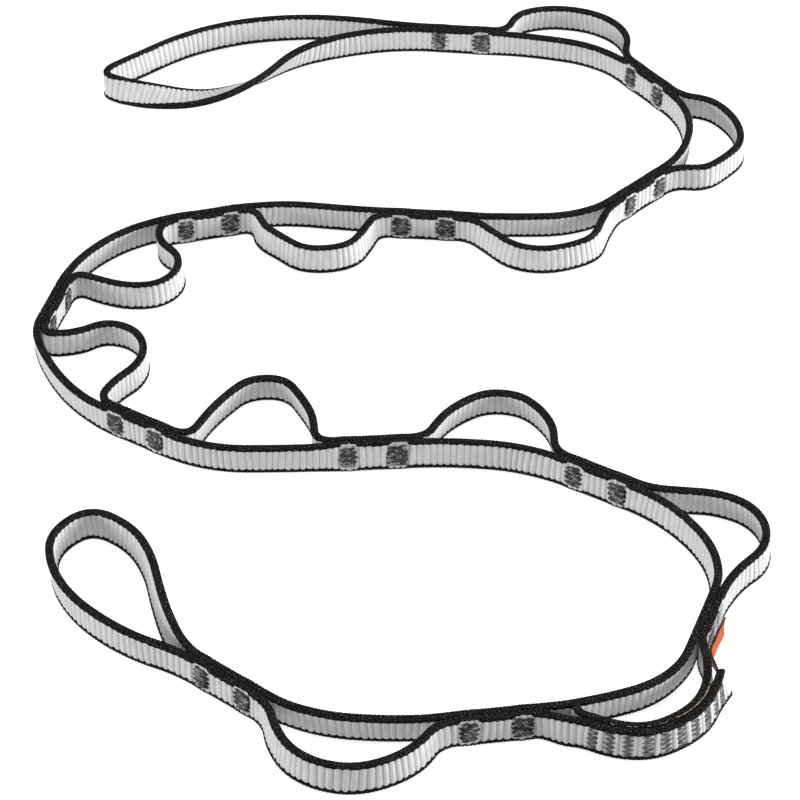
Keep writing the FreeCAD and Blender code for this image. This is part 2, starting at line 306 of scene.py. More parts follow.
# ---------------------------------------------------------------- lines of the whole sling
def block_starts():
    """Where each stitched block starts on the spine strand, and the spine's arcs between."""
    starts, between = [], []
    p = ahead(START, BLOCK_HEADING[0], -LEAD)
    for k, heading in enumerate(BLOCK_HEADING):
        starts.append(p)
        p = ahead(p, heading, BLOCK)
        if k < len(SPINE_LENGTH):
            half = SPINE_LENGTH[k] / 2 - LEAD
            run = route(p, heading, [(half, SPINE_MIDDLE[k]), (half, BLOCK_HEADING[k + 1])])
            between.append(run)
            p, _h = finish_of(run)
    return starts, between


STARTS, SPINES = block_starts()


def block_point(k, share, off=0.0):
    """A point of block k, by the share of its length and the distance to the left."""
    return beside(ahead(STARTS[k], BLOCK_HEADING[k], BLOCK * share), BLOCK_HEADING[k], off)


def half_block(k, off, second):
    """Half of block k, up to its middle or on from there."""
    return straight(block_point(k, 0.5 if second else 0.0, off), BLOCK_HEADING[k], BLOCK / 2)


def spine_line(k):
    """The spine strand of pocket k, from the middle of its block to the middle of the next."""
    bent = corners(SPINES[k])
    if k in SPINE_BENDS_SOONER:
        bent[1] = ahead(bent[0], BLOCK_HEADING[k], SPINE_BENDS_SOONER[k])
    return joined(half_block(k, 0, True), spline(bent), half_block(k + 1, 0, False))


def slack_arcs(k):
    """The slack strand's arcs from block k to the next, stretched until they close."""
    p, q = block_point(k, 1.0, THICK), block_point(k + 1, 0.0, THICK)
    h0, h1 = BLOCK_HEADING[k], BLOCK_HEADING[k + 1]
    base = line_heading(p, q, (h0 + h1) / 2)
    each = SLACK_TO_SPAN * math.dist(p, q) / (len(SLACK_SHAPE[k]) + 1)
    arcs = [(each, base + rel) for rel in SLACK_SHAPE[k]] + [(each, h1)]
    return closed_route(p, h0, q, h1, (), arcs)


def slack_line(k):
    """The slack strand of pocket k, from the middle of its block to the middle of the next."""
    return joined(half_block(k, THICK, True), spline(corners(slack_arcs(k))),
                  half_block(k + 1, THICK, False))


def splice_lines():
    """The splice's inner and outer layer, and where its tacks sit along each of the two."""
    whole = Line(spline([(x * MM, y * MM) for x, y in SPLICE_LINE]))
    inner = [tuple(p) for p in whole.at(np.linspace(0.0, CURL_FROM, 90))]
    end = whole.heading(CURL_FROM, BLOCK_HEADING[SPLICED + 1])
    curl = route(inner[-1], end, [(CURL_LENGTH, end - CURL_TURN)])
    first = joined([block_point(SPLICED, 0.5, THICK)], inner, spline(corners(curl)))
    s = np.linspace(SPLICE_FROM - SPLICE_END_LONG, SPLICE_TO, 80)
    way = whole.way(s)
    near_end = np.clip(1.0 - (s - s[0]) / SPLICE_FLARE_LONG, 0.0, 1.0)
    off = THICK + SPLICE_SEAM + SPLICE_END_FLARE * near_end ** 2
    over = Line(whole.at(s) + off[:, None] * np.stack([-way[:, 1], way[:, 0]], -1))
    end = whole.heading(SPLICE_TO, BLOCK_HEADING[SPLICED + 1])
    p, q = tuple(over.points[-1]), block_point(SPLICED + 1, 0.0, THICK)
    h1 = BLOCK_HEADING[SPLICED + 1]
    base = line_heading(p, q, h1)
    each = math.dist(p, q) / (len(OUTER_RUN_OUT) + 1)
    arcs = [(each, base + rel) for rel in OUTER_RUN_OUT] + [(each, h1)]
    out = spline(corners(closed_route(p, end, q, h1, (), arcs)))
    second = joined([tuple(p) for p in over.points], out, half_block(SPLICED + 1, THICK, False))
    tacks = np.linspace(SPLICE_FROM + SPLICE_MARGIN, SPLICE_TO - SPLICE_MARGIN, SPLICE_TACKS)
    to_start = math.dist(block_point(SPLICED, 0.5, THICK), inner[0])
    return first, second, tacks + to_start, np.interp(tacks, s, over.along)


def loop_a_line():
    """End loop A, from the middle of the first block and back to it."""
    heading = BLOCK_HEADING[0] + 180
    run = closed_route(block_point(0, 0.0, THICK), heading, block_point(0, 0.0), heading + 180,
                       LOOP_A_BACK + LOOP_A_TIP, LOOP_A_FRONT)
    return joined(straight(block_point(0, 0.5, THICK), heading, BLOCK / 2),
                  spline(corners(run)), half_block(0, 0, False))


def loop_b_line():
    """End loop B, from the middle of the last block and back to it."""
    heading = BLOCK_HEADING[-1] + 360
    run = closed_route(block_point(-1, 1.0), heading, block_point(-1, 1.0, THICK), heading + 180,
                       LOOP_B_OUT, LOOP_B_BACK)
    return joined(half_block(-1, 0, True), spline(corners(run)),
                  straight(block_point(-1, 1.0, THICK), heading + 180, BLOCK / 2))


# ---------------------------------------------------------------- woven strip
# Around a section: (share of the half thickness, share of the selvedge's height, bead).
EDGE_SIDE = ((0.97, 0.02, 0.0), (1.01, 0.28, 0.4), (1.02, 0.60, 0.8), (0.95, 0.87, 1.0),
             (0.72, 0.98, 1.0), (0.36, 1.0, 0.9))
EDGE = EDGE_SIDE + ((0.0, 0.985, 0.0),) + tuple((-x, y, b) for x, y, b in reversed(EDGE_SIDE))
FACE_ROWS = (0.0, 0.03, 0.09, 0.28, 0.72, 0.91, 0.97, 1.0)
FACE_SINK = (0.16, 0.05, 0.0, 0.0, 0.0, 0.0, 0.05, 0.16)     # millimetres


def rib_stations(length):
    """Places along a strip with the rib that each belongs to: (s, share of the rib, rib)."""
    count = max(2, round(length / RIB))
    sizes = np.array([1.0 + rng.uniform(-0.16, 0.16) for _ in range(count)])
    ends = np.concatenate([[0.0], np.cumsum(sizes)]) / sizes.sum() * length
    s, share, index = [], [], []
    for n in range(count):
        for f in RIB_STATIONS:
            s.append(ends[n] + f * (ends[n + 1] - ends[n]))
            share.append(f)
            index.append(n)
    return np.array(s + [length]), np.array(share + [0.0]), np.array(index + [count - 1]), count


def near_tack(s, places, half, soft):
    """1 within half of a place, falling to 0 over the soft distance."""
    out = np.zeros_like(s)
    for place in places:
        u = np.clip((np.abs(s - place) - half) / soft, 0.0, 1.0)
        out = np.maximum(out, 1.0 - u * u * (3.0 - 2.0 * u))
    return out


def face_borders(s, swell, rib, count, tacks, outer):
    """How far each face's white reaches up and down from the middle, by the face's side."""
    lobe = near_tack(s, tacks, 1.4 * MM, 4.4 * MM) * LOBE
    border = {}
    for side in (1, -1):
        reach = np.array([rng.uniform(-0.22, 0.22) * MM for _ in range(count)])[rib]
        border[side] = EDGE_HIGH - SELVEDGE + SCALLOP * (swell - 0.6) + reach * swell
        border[side] += lobe * (side == outer)
    return border


def drawn_in(s, tacks, splice):
    """How far stitching draws a face in, less how far the cloth puffs out beside it."""
    pinch = near_tack(s, tacks, 3.8 * MM, 1.2 * MM) + 0.5 * near_tack(s, splice, 2 * MM, MM)
    puff = near_tack(s, tacks, 5.6 * MM, 1.6 * MM) - near_tack(s, tacks, 4.3 * MM, 1.0 * MM)
    return 0.14 * MM * puff - 0.30 * MM * pinch


def strip(name, line, tacks=(), outer=-1, roll=None, capped=(False, False), splice=()):
    """A stretch of ribbed webbing along a line, with its black edges.

    Its tacks draw in the outer face: 1 for the left of the line and -1 for the right.
    roll gives the section's turn about the line, in degrees, by the length along it."""
    s, share, rib, count = rib_stations(line.length)
    swell = 1.0 - (2.0 * share - 1.0) ** 2
    proud = np.array([rng.uniform(0.78, 1.0) for _ in range(count)])[rib]
    drawn = drawn_in(s, tacks, splice)
    beads = np.cos(4.0 * math.pi * share)
    touched = near_tack(s, tacks, 2.9 * MM, 0.6 * MM) > 0.5
    border = face_borders(s, swell, rib, count, tacks, outer)
    # recess_shade is how deep each point lies in a groove or between the edge's beads; the
    # materials paint it darker as shade.
    x, y, recess_shade, black = [], [], [], []
    for side in (1, -1):
        surface = THICK / 2 - GROOVE_DEEP * (1.0 - swell * proud) - 0.02 * MM
        surface = surface + drawn * (side == outer)
        for up, sink in zip(FACE_ROWS, FACE_SINK):
            x.append(side * (surface - sink * MM))
            y.append(side * border[side] * (2 * up - 1))
            recess_shade.append(1.0 - swell * proud)
            black.append(np.zeros(len(s), bool))
        for across, up, bead in EDGE:
            near = 1 if across >= 0 else -1
            ball = BEAD * bead * beads * near
            low = border[side * near]
            rise = low + (EDGE_HIGH - low) * up
            x.append(side * across * (THICK / 2 + ball * (abs(across) > 0.7)))
            y.append(side * (rise + ball * (abs(across) < 0.8)))
            recess_shade.append(0.5 - 0.5 * beads * near * bead)
            black.append(~(touched & (side > 0 and across * outer > 0.9)))
    x, y, recess_shade, black = [np.stack(rows, 1) for rows in (x, y, recess_shade, black)]
    wander = 0.30 * MM * np.sin(s / (9.7 * MM) + rng.uniform(0, 6)) \
        + 0.22 * MM * np.sin(s / (4.3 * MM) + rng.uniform(0, 6))
    inside = np.sin(math.pi * np.clip(s / line.length, 0, 1)) ** 0.25
    at = np.clip(s[:, None] + (wander * inside)[:, None] * y / (WIDTH / 2), 0.0, line.length)
    turn = np.radians(roll(s) if roll else np.zeros_like(s))
    points = place_section(line, at, x, y, turn)
    top = len(FACE_ROWS) + len(EDGE) // 2
    return weave_mesh(name, points, black, recess_shade, s, top, capped)


def lean(line, bend_lean, steady=0.0, ends=(0.0, 0.0)):
    """The turn of a section by the length along a strand, foot to the outside of each bend.

    ends gives the turn of the blocks that it is sewn into, or None at a free end."""
    heading = np.unwrap(np.arctan2(line.ways[:, 1], line.ways[:, 0]))
    s = np.linspace(0.0, line.length, 400)
    bend = np.gradient(np.interp(s, line.along, heading), s)
    reach = max(1, round(7 * MM / s[1]))
    window = np.hanning(2 * reach + 3)
    smooth = np.convolve(np.pad(bend, reach + 1, mode="edge"), window / window.sum(), "valid")
    turn = steady - bend_lean * np.tanh(smooth * 25 * MM)
    for end, sewn in zip((0.0, line.length), ends):
        if sewn is not None:
            held = near_tack(s, [end], BLOCK / 2, 14 * MM)
            turn = turn * (1.0 - held) + sewn * held
    return lambda at: np.interp(at, s, turn)


def place_section(line, at, x, y, turn):
    """Points of the sections in space: x to the left of the line and y up, turned about it."""
    c, sn = np.cos(turn)[:, None], np.sin(turn)[:, None]
    left = x * c - y * sn
    up = y * c + x * sn
    middle = np.maximum(STRAND_MIDDLE * np.abs(c) + THICK / 2 * np.abs(sn), STRAND_MIDDLE)
    p, w = line.at(at), line.way(at)
    return np.stack([p[..., 0] - w[..., 1] * left, p[..., 1] + w[..., 0] * left, middle + up], -1)


def cap(ring, top):
    """The faces that close a section: strips from its top vertex down to its lowest one."""
    faces = []
    for n in range(len(ring) // 2):
        quad = [ring[(top + step) % len(ring)] for step in (-n, n, n + 1, -n - 1)]
        faces.append(list(dict.fromkeys(quad)))
    return faces


def weave_mesh(name, points, black, recess_shade, s, top, capped):
    """A tube of faces through rings of points, with its materials and its map.

    The map runs along the strip and round its section, in centimetres."""
    rows, around = points.shape[:2]
    index = np.arange(rows * around).reshape(rows, around)
    wrapped = np.concatenate([index, index[:, :1]], 1)
    corners_of = [wrapped[:-1, :-1], wrapped[1:, :-1], wrapped[1:, 1:], wrapped[:-1, 1:]]
    faces = np.stack(corners_of, -1).reshape(-1, 4).tolist()
    slots = (black | np.roll(black, -1, axis=1))[:-1].astype(int).ravel().tolist()
    sides = np.linalg.norm(points - np.roll(points, -1, axis=1), axis=2).mean(0)
    v = np.tile(np.concatenate([[0.0], np.cumsum(sides)]), (rows, 1))
    u = np.tile(s[:, None], (1, around + 1))
    flat = [np.stack([m[:-1, :-1], m[1:, :-1], m[1:, 1:], m[:-1, 1:]], -1).ravel()
            for m in (u, v)]
    strip_uv = np.stack(flat, -1)
    ends = [cap(index[0].tolist(), top)] if capped[0] else []
    ends += [[face[::-1] for face in cap(index[-1].tolist(), top)]] if capped[1] else []
    for end in ends:
        faces += end
        slots += [2] * len(end)
    mesh = bpy.data.meshes.new(name)
    mesh.from_pydata(points.reshape(-1, 3).tolist(), [], faces)
    mesh.polygons.foreach_set("material_index", slots)
    mesh.polygons.foreach_set("use_smooth", [True] * len(faces))
    # The recess depth of each point, which the materials darken as painted shade.
    stored = mesh.attributes.new("recess_shade", "FLOAT", "POINT")
    stored.data.foreach_set("value", recess_shade.reshape(-1).astype(np.float32))
    uv = mesh.uv_layers.new(name="strip")
    every = np.zeros((len(mesh.loops), 2), np.float32)
    every[:len(strip_uv)] = strip_uv * 100
    uv.data.foreach_set("uv", every.ravel())
    piece = bpy.data.objects.new(name, mesh)
    bpy.context.scene.collection.objects.link(piece)
    for material in (WHITE, BLACK, CUT):
        mesh.materials.append(material)
    return piece


# ---------------------------------------------------------------- materials
def new_material(name, colour, roughness, sheen=0.0):
    """A plain cloth material and the parts that its details are wired to."""
    material = bpy.data.materials.new(name)
    material.use_nodes = True
    tree = material.node_tree
    shader = tree.nodes["Principled BSDF"]
    shader.inputs["Base Color"].default_value = (*colour, 1)
    shader.inputs["Roughness"].default_value = roughness
    shader.inputs["Specular IOR Level"].default_value = 0.3
    shader.inputs["Sheen Weight"].default_value = sheen
    shader.inputs["Sheen Roughness"].default_value = 0.4
    return material, tree, shader


def strip_map(tree, scale):
    """Coordinates along and across the webbing, in centimetres, scaled."""
    uv = tree.nodes.new("ShaderNodeUVMap")
    uv.uv_map = "strip"
    mapping = tree.nodes.new("ShaderNodeMapping")
    mapping.inputs["Scale"].default_value = (*scale, 1)
    tree.links.new(uv.outputs["UV"], mapping.inputs["Vector"])
    return mapping.outputs["Vector"]


def noise(tree, vector, scale, detail=3.0, roughness=0.6):
    node = tree.nodes.new("ShaderNodeTexNoise")
    node.inputs["Scale"].default_value = scale
    node.inputs["Detail"].default_value = detail
    node.inputs["Roughness"].default_value = roughness
    if vector is not None:
        tree.links.new(vector, node.inputs["Vector"])
    return node.outputs["Fac"]


def ramp(tree, value, stops):
    node = tree.nodes.new("ShaderNodeValToRGB")
    ends = node.color_ramp.elements
    while len(ends) < len(stops):
        ends.new(0.5)
    for element, (at, colour) in zip(ends, stops):
        element.position = at
        element.color = (*colour, 1)
    tree.links.new(value, node.inputs["Fac"])
    return node.outputs["Color"]


def mix(tree, kind, factor, a, b):
    node = tree.nodes.new("ShaderNodeMix")
    node.data_type = "RGBA"
    node.blend_type = kind
    if isinstance(factor, float):
        node.inputs["Factor"].default_value = factor
    else:
        tree.links.new(factor, node.inputs["Factor"])
    for value, name in ((a, 6), (b, 7)):
        if isinstance(value, tuple):
            node.inputs[name].default_value = (*value, 1)
        else:
            tree.links.new(value, node.inputs[name])
    return node.outputs[2]


def maths(tree, kind, a, b=0.5):
    node = tree.nodes.new("ShaderNodeMath")
    node.operation = kind
    for value, socket in ((a, node.inputs[0]), (b, node.inputs[1])):
        if isinstance(value, (int, float)):
            socket.default_value = value
        else:
            tree.links.new(value, socket)
    return node.outputs[0]


def wave(tree, vector, scale, direction, distortion=0.0):
    node = tree.nodes.new("ShaderNodeTexWave")
    node.bands_direction = direction
    node.inputs["Scale"].default_value = scale
    node.inputs["Distortion"].default_value = distortion
    node.inputs["Detail"].default_value = 1.0
    node.inputs["Detail Scale"].default_value = 2.0
    tree.links.new(vector, node.inputs["Vector"])
    return node.outputs["Fac"]


def attribute(tree, name):
    node = tree.nodes.new("ShaderNodeAttribute")
    node.attribute_name = name
    return node.outputs["Fac"]


def bump(tree, shader, height, strength, distance):
    node = tree.nodes.new("ShaderNodeBump")
    node.inputs["Strength"].default_value = strength
    node.inputs["Distance"].default_value = distance
    tree.links.new(height, node.inputs["Height"])
    tree.links.new(node.outputs["Normal"], shader.inputs["Normal"])


def white_webbing():
    """Silky white ribs: fine yarns along each rib and a ladder of stitches in the grooves, which
    are also painted darker as shade.
    """
    material, tree, shader = new_material("webbing_white", (0.8, 0.8, 0.81), 0.5, 0.1)
    across = strip_map(tree, (1.0, 1.0))
    recess_shade = attribute(tree, "recess_shade")
    ladder = wave(tree, across, 5.2, "Y", 1.5)
    yarn = wave(tree, across, 3.6, "X", 2.5)
    tone = noise(tree, strip_map(tree, (9.0, 2.0)), 1.0)
    base = ramp(tree, tone, ((0.3, (0.78, 0.785, 0.80)), (0.7, (0.93, 0.93, 0.93))))
    yarns = mix(tree, "MULTIPLY", 0.6, base, ramp(tree, yarn, ((0.1, (0.80, 0.81, 0.83)),
                                                              (0.6, (1, 1, 1)))))
    # The grooves are mixed towards the grey ladder dots by their depth: the ladder is the real
    # stitching, and the darkening is painted shade.
    ladder_dots_and_shade = ramp(tree, ladder, ((0.35, (0.34, 0.34, 0.36)), (0.65, (0.88, 0.88, 0.88))))
    depth = ramp(tree, recess_shade, ((0.45, (0, 0, 0)), (0.95, (1, 1, 1))))
    colour = mix(tree, "MIX", maths(tree, "MULTIPLY", depth, 0.6), yarns, ladder_dots_and_shade)
    tree.links.new(colour, shader.inputs["Base Color"])
    rough = maths(tree, "MULTIPLY_ADD", tone, 0.3)
    rough.node.inputs[2].default_value = 0.35
    tree.links.new(rough, shader.inputs["Roughness"])
    relief = maths(tree, "ADD", maths(tree, "MULTIPLY", yarn, 0.7),
                   maths(tree, "MULTIPLY", ladder, depth))
    bump(tree, shader, relief, 0.5, 0.00015)
    return material


def black_selvedge():
    """Black braided edge with grey flecks of worn filament, painted darker between its beads as
    shade.
    """
    material, tree, shader = new_material("webbing_black", (0.01, 0.01, 0.011), 0.8)
    shader.inputs["Specular IOR Level"].default_value = 0.12
    flecks = noise(tree, strip_map(tree, (12.0, 20.0)), 1.0, 1.0, 0.5)
    patches = noise(tree, strip_map(tree, (1.0, 1.0)), 2.0, 1.0)
    beads = attribute(tree, "recess_shade")
    base = ramp(tree, flecks, ((0.45, (0.005, 0.0042, 0.004)), (0.545, (0.015, 0.013, 0.0125)),
                               (0.62, (0.070, 0.064, 0.061)), (0.73, (0.24, 0.225, 0.215))))
    worn = mix(tree, "MIX", ramp(tree, patches, ((0.38, (0, 0, 0)), (0.68, (0.6, 0.6, 0.6)))),
               base, (0.012, 0.0105, 0.01))
    # Multiplied darker between the beads and not on their tops: painted shade in the braid's
    # hollows.
    colour = mix(tree, "MULTIPLY", 0.75, worn, ramp(tree, beads, ((0.2, (1, 1, 1)),
                                                                  (0.8, (0.22, 0.21, 0.2)))))
    tree.links.new(colour, shader.inputs["Base Color"])
    bump(tree, shader, flecks, 0.8, 0.0003)
    return material


def cut_end():
    """A heat-sealed cut end: grey-white fused filaments."""
    material, tree, shader = new_material("webbing_cut_end", (0.5, 0.5, 0.5), 0.5)
    fused = noise(tree, None, 900.0)
    tree.links.new(ramp(tree, fused, ((0.35, (0.10, 0.10, 0.10)), (0.65, (0.62, 0.61, 0.60)))),
                   shader.inputs["Base Color"])
    bump(tree, shader, fused, 0.6, 0.0002)
    return material


def thread(name, dark, light):
    """Bonded sewing thread, unevenly dark along its length: its lighter specks are painted sheen
    highlights.
    """
    material, tree, shader = new_material(name, dark, 0.45, 0.1)
    coordinates = tree.nodes.new("ShaderNodeTexCoord").outputs["Object"]
    tone = noise(tree, coordinates, 1400.0, 2.0)
    tree.links.new(ramp(tree, tone, ((0.38, dark), (0.66, light))), shader.inputs["Base Color"])
    bump(tree, shader, noise(tree, coordinates, 5000.0, 1.0), 0.4, 0.00005)
    return material


def label_cloth(name, dark, light):
    """Plain woven tape."""
    material, tree, shader = new_material(name, light, 0.6, 0.04)
    across = strip_map(tree, (1.0, 1.0))
    weave = maths(tree, "MULTIPLY", wave(tree, across, 12.0, "X"), wave(tree, across, 12.0, "Y"))
    tone = noise(tree, across, 3.0)
    base = ramp(tree, tone, ((0.3, dark), (0.7, light)))
    tree.links.new(mix(tree, "MULTIPLY", 0.35, base, ramp(tree, weave, ((0.1, (0.55, 0.45, 0.4)),
                                                                       (0.6, (1, 1, 1))))),
                   shader.inputs["Base Color"])
    bump(tree, shader, weave, 0.4, 0.0001)
    return material


WHITE, BLACK, CUT = white_webbing(), black_selvedge(), cut_end()
# Each thread's second colour is its painted sheen highlight.
THREAD_DARK = thread("thread_dark", (0.012, 0.012, 0.013), (0.10, 0.10, 0.105))
THREAD_GREY = thread("thread_grey", (0.08, 0.08, 0.082), (0.32, 0.32, 0.325))
THREAD_PALE = thread("thread_pale", (0.30, 0.30, 0.305), (0.78, 0.78, 0.785))
THREAD_TAN = thread("thread_tan", (0.20, 0.16, 0.10), (0.62, 0.56, 0.45))
LABEL = label_cloth("label_orange", (0.60, 0.085, 0.016), (0.80, 0.13, 0.028))
LABEL_BACK = label_cloth("label_back", (0.60, 0.53, 0.50), (0.84, 0.78, 0.75))
# The label's dark brown rim is painted shade on the tape's top edge and cut ends.
LABEL_RIM_SHADE = label_cloth("label_rim_shade", (0.035, 0.014, 0.009), (0.11, 0.04, 0.02))


# ---------------------------------------------------------------- the strands
def body(k):
    """The CAD body of block k."""
    return "link_%02d" % (k + 1)


def node(kind, k):
    return "%s_%02d" % (kind, k + 1)


def tack_places(line, first=True, last=True):
    """Where a strand's tacks are along it, counted from the middles of its two blocks."""
    half = TACK_PITCH / 2
    return ([half] if first else []) + ([line.length - half] if last else [])


def as_cord(line):
    """Points down the middle of a strand along its line, half its width up, which are not used.
    """
    s = np.linspace(0.0, line.length, max(3, round(line.length / (4 * MM))))
    path = [(p[0], p[1], WIDTH / 2) for p in line.at(s)]


def root_blend(piece):
    """Bakes a piece's placement into its mesh."""
    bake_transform(piece)


def make_strand(kind, k, line, outer, roll):
    """A strand of pocket k, whose middle is the distance off to the left of the spine's."""
    piece = strip("%s_strand_%02d" % (kind, k + 1), line, tack_places(line), outer, roll)
    last = [node(kind, k + 1)] if k == len(SPINES) - 1 else []
    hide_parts(node(kind, k), *last)
    if k == SPLICED:
        root_blend(piece)
    else:
        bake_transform(piece)
    as_cord(line)


def make_strands():
    for k in range(len(SPINES)):
        line = spine_line(k)
        roll = lean(line, 0.0, SPINE_LEAN[k], BLOCK_LEAN[k:k + 2])
        make_strand("spine", k, line, -1, roll)
    for k in range(len(SPINES)):
        if k != SPLICED:
            line = slack_line(k)
            roll = lean(line, BEND_LEAN, SLACK_LEAN[k], BLOCK_LEAN[k:k + 2])
            make_strand("slack", k, line, 1, roll)


def outer_roll(line):
    """The outer layer's lean, with its free end's foot standing further out."""
    along = lean(line, BEND_LEAN, SPLICE_LEAN, (None, BLOCK_LEAN[SPLICED + 1]))
    return lambda s: along(s) + SPLICE_END_LEAN * np.clip(1.0 - s / (14 * MM), 0.0, 1.0) ** 2


def inner_roll(line):
    return lean(line, BEND_LEAN, SPLICE_LEAN, (BLOCK_LEAN[SPLICED], None))


def make_splice():
    """The two layers of the splice, which are capped where they are cut."""
    inner, outer, _on_inner, on_outer = splice_lines()
    piece = strip("splice_inner_layer", inner, tack_places(inner, last=False), outer=1,
                  roll=inner_roll(inner), capped=(False, True))
    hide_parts(node("slack", SPLICED))
    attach(piece, body(SPLICED))
    as_cord(inner)
    piece = strip("splice_outer_layer", outer, tack_places(outer, first=False), outer=1,
                  roll=outer_roll(outer), capped=(True, False), splice=on_outer)
    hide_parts("splice_outer")
    root_blend(piece)
    as_cord(outer)


def steps_between(values, s):
    """Smooth steps from one given (place, value) to the next."""
    place = [v[0] for v in values]
    out = np.full_like(s, float(values[0][1]))
    for n in range(1, len(values)):
        u = np.clip((s - place[n - 1]) / (place[n] - place[n - 1]), 0.0, 1.0)
        out = out + (values[n][1] - values[n - 1][1]) * u
    return out


def smooth_steps(values, start):
    """A turn by the length along a strand, from (millimetres past the start, degrees) steps."""

    def turn(s):
        around = [steps_between(values, (s - start) / MM + n) for n in (-6, -3, 0, 3, 6)]
        return sum(around) / len(around)

    return turn


def make_loop(name, nodes, line, roll):
    """An end loop along its line, with its tacks, in place of its CAD parts."""
    piece = strip(name, line, tack_places(line), roll=roll)
    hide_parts(*nodes)
    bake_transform(piece)
    as_cord(line)


def make_loops():
    tip = BLOCK / 2 + sum(length for length, _h in LOOP_A_BACK)
    make_loop("end_loop_a", ("loop_a_back", "loop_a_twist", "loop_a_front"), loop_a_line(),
              smooth_steps(LOOP_A_TURN, tip))
    make_loop("end_loop_b", ("loop_b_back", "loop_b_front"), loop_b_line(),
              smooth_steps(LOOP_B_TURN, 0.0))


make_strands()
make_splice()
make_loops()


# ---------------------------------------------------------------- stitching
def tube(path, radius, sides=5):
    """A thread's vertices and faces along a path of points."""
    path = np.array(path, float)
    way = np.gradient(path, axis=0)
    way /= np.linalg.norm(way, axis=1)[:, None]
    one = np.cross(way, (0.13, 0.21, 1.0))
    one /= np.linalg.norm(one, axis=1)[:, None]
    two = np.cross(way, one)
    rings = []
    for n in range(sides):
        a = 2 * math.pi * n / sides
        rings.append(path + radius * (math.cos(a) * one + math.sin(a) * two))
    points = np.stack(rings, 1).reshape(-1, 3)
    faces = []
    for row in range(len(path) - 1):
        for n in range(sides):
            m = (n + 1) % sides
            faces.append((row * sides + n, row * sides + m, (row + 1) * sides + m,
                          (row + 1) * sides + n))
    faces.append(tuple(range(sides)))
    faces.append(tuple(reversed(range((len(path) - 1) * sides, len(path) * sides))))
    return points, faces


def zigzag(line, place, off, side, long, low, high, step, slip, roll):
    """The path of one pass of zigzag stitches on a face of the webbing."""
    path = []
    count = max(3, round((high - low) / step))
    for n in range(count):
        z = low + (high - low) * n / (count - 1) + rng.uniform(-slip, slip)
        rounded = 1.0 - 0.26 * abs(2 * n / (count - 1) - 1) ** 3
        reach = long / 2 * rounded * rng.uniform(0.84, 1.06) * (1 if n % 2 else -1)
        for share, rise in ((-1.0, -0.22), (-0.45, 0.14), (0.45, 0.15), (1.0, -0.22)):
            s = place + reach * share
            up = z + (share + 1) / 4 * (high - low) / (count - 1) - WIDTH / 2
            left = side * (off + (rise + rng.uniform(-0.04, 0.04)) * MM)
            path.append(on_face(line, s, left, up, float(roll(s))))
    return path


def on_face(line, s, left, up, turn):
    """A point beside a strand, turned with its section."""
    c, sn = math.cos(math.radians(turn)), math.sin(math.radians(turn))
    p, w = line.at(s), line.way(s)
    far = left * c - up * sn
    return p[0] - w[1] * far, p[1] + w[0] * far, STRAND_MIDDLE + up * c + left * sn


def squiggles(line, place, off, side, long, count, roll):
    """Short loose waves of the top thread, scattered over a tack."""
    out = []
    for _ in range(count):
        s, z = place + rng.uniform(-0.40, 0.40) * long, rng.uniform(TACK_LOW, TACK_HIGH)
        half, tall = rng.uniform(0.6, 1.2) * MM, rng.uniform(0.2, 0.5) * MM
        tilt = rng.uniform(-0.9, 0.9)
        phase, path = rng.uniform(0, 6), []
        for n in range(9):
            along = half * (n / 4 - 1)
            up = z + tall * math.sin(phase + n * 1.1) + tilt * along - WIDTH / 2
            left = side * (off + 0.05 * MM * math.sin(phase + 2 * n))
            path.append(on_face(line, s + along, left, up, float(roll(s))))
        out.append(path)
    return out


def thread_mesh(name, paths):
    """One piece from several passes of thread: (path, radius, material index)."""
    points, faces, slots = [], [], []
    for path, radius, slot in paths:
        p, f = tube(path, radius)
        base = sum(len(q) for q in points)
        points.append(p)
        faces += [tuple(base + i for i in face) for face in f]
        slots += [slot] * len(f)
    mesh = bpy.data.meshes.new(name)
    mesh.from_pydata(np.concatenate(points).tolist(), [], faces)
    mesh.polygons.foreach_set("material_index", slots)
    mesh.polygons.foreach_set("use_smooth", [True] * len(faces))
    for material in (THREAD_DARK, THREAD_GREY, THREAD_TAN, THREAD_PALE):
        mesh.materials.append(material)
    piece = bpy.data.objects.new(name, mesh)
    bpy.context.scene.collection.objects.link(piece)
    return piece


# A tack's passes: lift off the face, share of the tack's length, step, slip, radius, thread.
TACK_PASSES = ((0.30, 1.28, 1.00, 0.12, 0.24, DARK), (0.10, 1.00, 0.50, 0.10, 0.24, DARK),
               (0.18, 0.96, 0.80, 0.20, 0.22, GREY), (0.20, 0.88, 1.30, 0.25, 0.22, DARK))
SQUIGGLES, SQUIGGLE_LIFT, SQUIGGLE_RADIUS = 17, 0.48 * MM, 0.19 * MM
TACK_SUNK = 0.32 * MM       # how far a tack's base is below the strand's face


def bar_tack(line, place, off, side, long, roll, only):
    """Dense dark passes and a wide one whose turns show as teeth, with pale squiggles on top
    whose paler thread is painted highlight.

    only is the one thread of a faded tack's passes, or None."""
    out = []
    for lift, share, step, slip, radius, slot in TACK_PASSES:
        path = zigzag(line, place, off + lift * MM, side, long * share, TACK_LOW, TACK_HIGH,
                      step * MM, slip * MM, roll)
        out.append((path, radius * MM, slot if only is None else only))
    loose = squiggles(line, place, off + SQUIGGLE_LIFT, side, long, SQUIGGLES, roll)
    # The squiggles' pale and grey thread is painted highlight on the tack's dark thread.
    return out + [(path, SQUIGGLE_RADIUS, PALE if n % 4 else GREY)
                  for n, path in enumerate(loose)]


